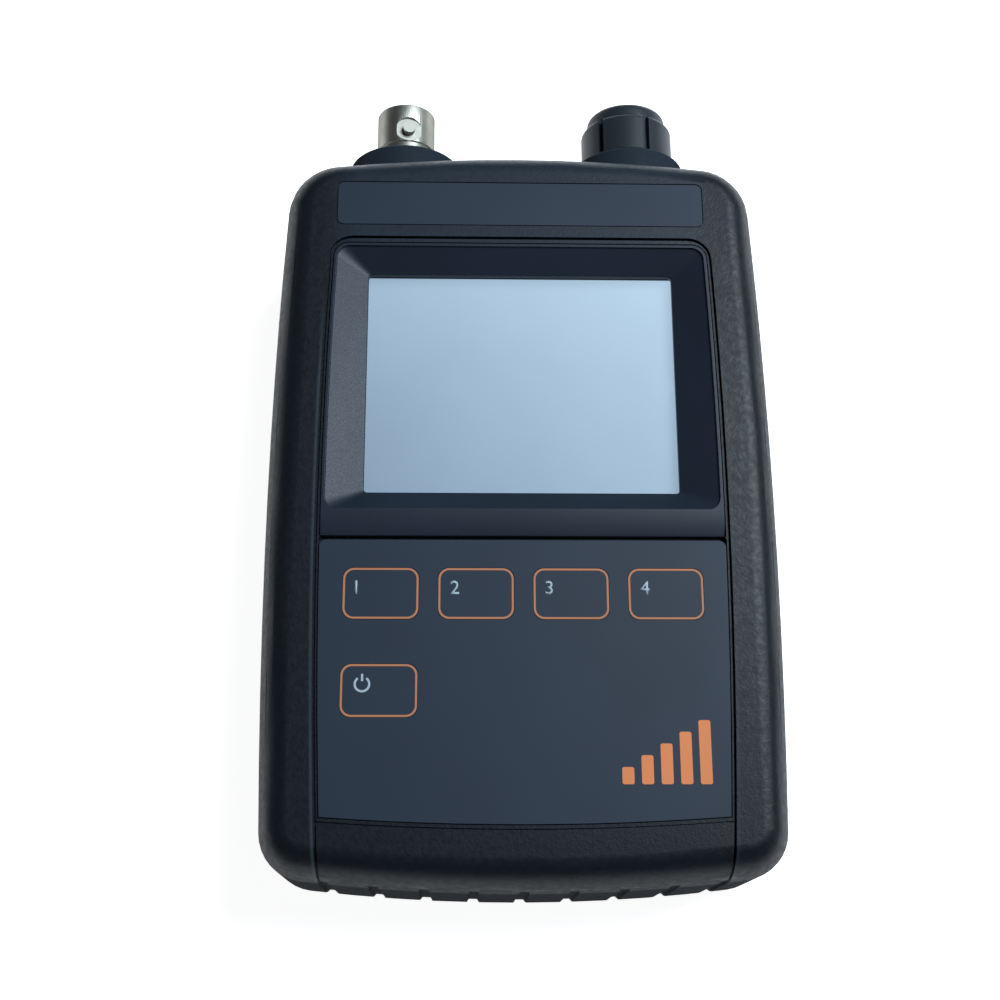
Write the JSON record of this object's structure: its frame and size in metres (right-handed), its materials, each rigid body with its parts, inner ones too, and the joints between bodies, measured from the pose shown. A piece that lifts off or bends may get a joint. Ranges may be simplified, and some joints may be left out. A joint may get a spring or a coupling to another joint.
{
  "type": "handheld network analyzer",
  "caption": "Handheld radio-frequency test instrument with a deep-set display, membrane keys, a tuning knob and a bayonet coaxial jack on its top end.",
  "frame": {"origin": "middle of the flat back face of the housing", "axes": "+X across the face to the right as the display is read, +Y along the housing towards the jack and knob, +Z out of the display"},
  "size_m": [0.0776, 0.1297, 0.03],
  "materials": {
    "housing": "fine leather grain, matt",
    "bezel": "satin",
    "label": "fine matt film",
    "key": "fine matt film with an orange frame",
    "lens": "clear, polished",
    "display": "pale blue, unlit",
    "gasket": "black foam",
    "steel_frame": "satin sheet",
    "tape": "foam tape",
    "flex": "amber film",
    "spacer": "polyester film",
    "circuit_film": "polyester film",
    "dome_steel": "bright",
    "nickel": "bright nickel plate",
    "insulator": "white, waxy",
    "gold": "gold plate",
    "brass_insert": "knurled brass",
    "knob": "smooth, matt",
    "steel": "zinc plated",
    "screw_black": "black oxide",
    "encoder_case": "plated sheet",
    "board": "green solder resist",
    "shield": "tinned sheet",
    "chip": "black epoxy",
    "socket_plastic": "natural nylon",
    "coax": "brown-black jacket",
    "wire": "red insulation",
    "battery": "blue shrink film",
    "pad": "foam"
  },
  "bodies": {
    "housing": {"front_cover": "housing", "rear_cover": "housing", "case_screws": "screw_black", "screw_inserts": "brass_insert", "display_bezel": "bezel", "display_lens": "lens", "lens_gasket": "gasket", "lcd_panel": "display", "lcd_frame": "steel_frame", "lcd_tape": "tape", "lcd_flex": "flex", "name_plate": "label", "keypad_overlay": "label", "keypad_spacer": "spacer", "keypad_circuit": "circuit_film", "key_domes": "dome_steel", "keypad_tail": "circuit_film", "bnc_body": "nickel", "bnc_insulator": "insulator", "bnc_contact": "gold", "bnc_washer": "steel", "bnc_nut": "nickel", "rf_lead": "coax", "encoder_body": "encoder_case", "encoder_washer": "steel", "encoder_nut": "steel", "encoder_board": "board", "encoder_leads": "wire", "main_board": "board", "board_screws": "screw_black", "rf_shield": "shield", "processor": "chip", "buzzer": "chip", "board_sockets": "socket_plastic", "charging_socket": "nickel", "battery_pack": "battery", "battery_pad": "pad", "battery_leads": "wire"},
    "knob": {"knob": "knob", "encoder_shaft": "steel"},
    "key_f1": {"key_f1": "key"},
    "key_f2": {"key_f2": "key"},
    "key_f3": {"key_f3": "key"},
    "key_f4": {"key_f4": "key"},
    "key_power": {"key_power": "key"}
  },
  "joints": [
    {"name": "knob_spin", "type": "hinge", "parent": "housing", "child": "knob", "pos_m": [0.0188, 0.058, 0.015], "axis": [0, 1, 0], "continuous": true},
    {"name": "f1_press", "type": "slide", "parent": "housing", "child": "key_f1", "axis": [0, 0, -1], "range_m": [0, 0.0004], "stiffness_N_per_m": 600},
    {"name": "f2_press", "type": "slide", "parent": "housing", "child": "key_f2", "axis": [0, 0, -1], "range_m": [0, 0.0004], "stiffness_N_per_m": 600},
    {"name": "f3_press", "type": "slide", "parent": "housing", "child": "key_f3", "axis": [0, 0, -1], "range_m": [0, 0.0004], "stiffness_N_per_m": 600},
    {"name": "f4_press", "type": "slide", "parent": "housing", "child": "key_f4", "axis": [0, 0, -1], "range_m": [0, 0.0004], "stiffness_N_per_m": 600},
    {"name": "power_press", "type": "slide", "parent": "housing", "child": "key_power", "axis": [0, 0, -1], "range_m": [0, 0.0004], "stiffness_N_per_m": 600}
  ]
}
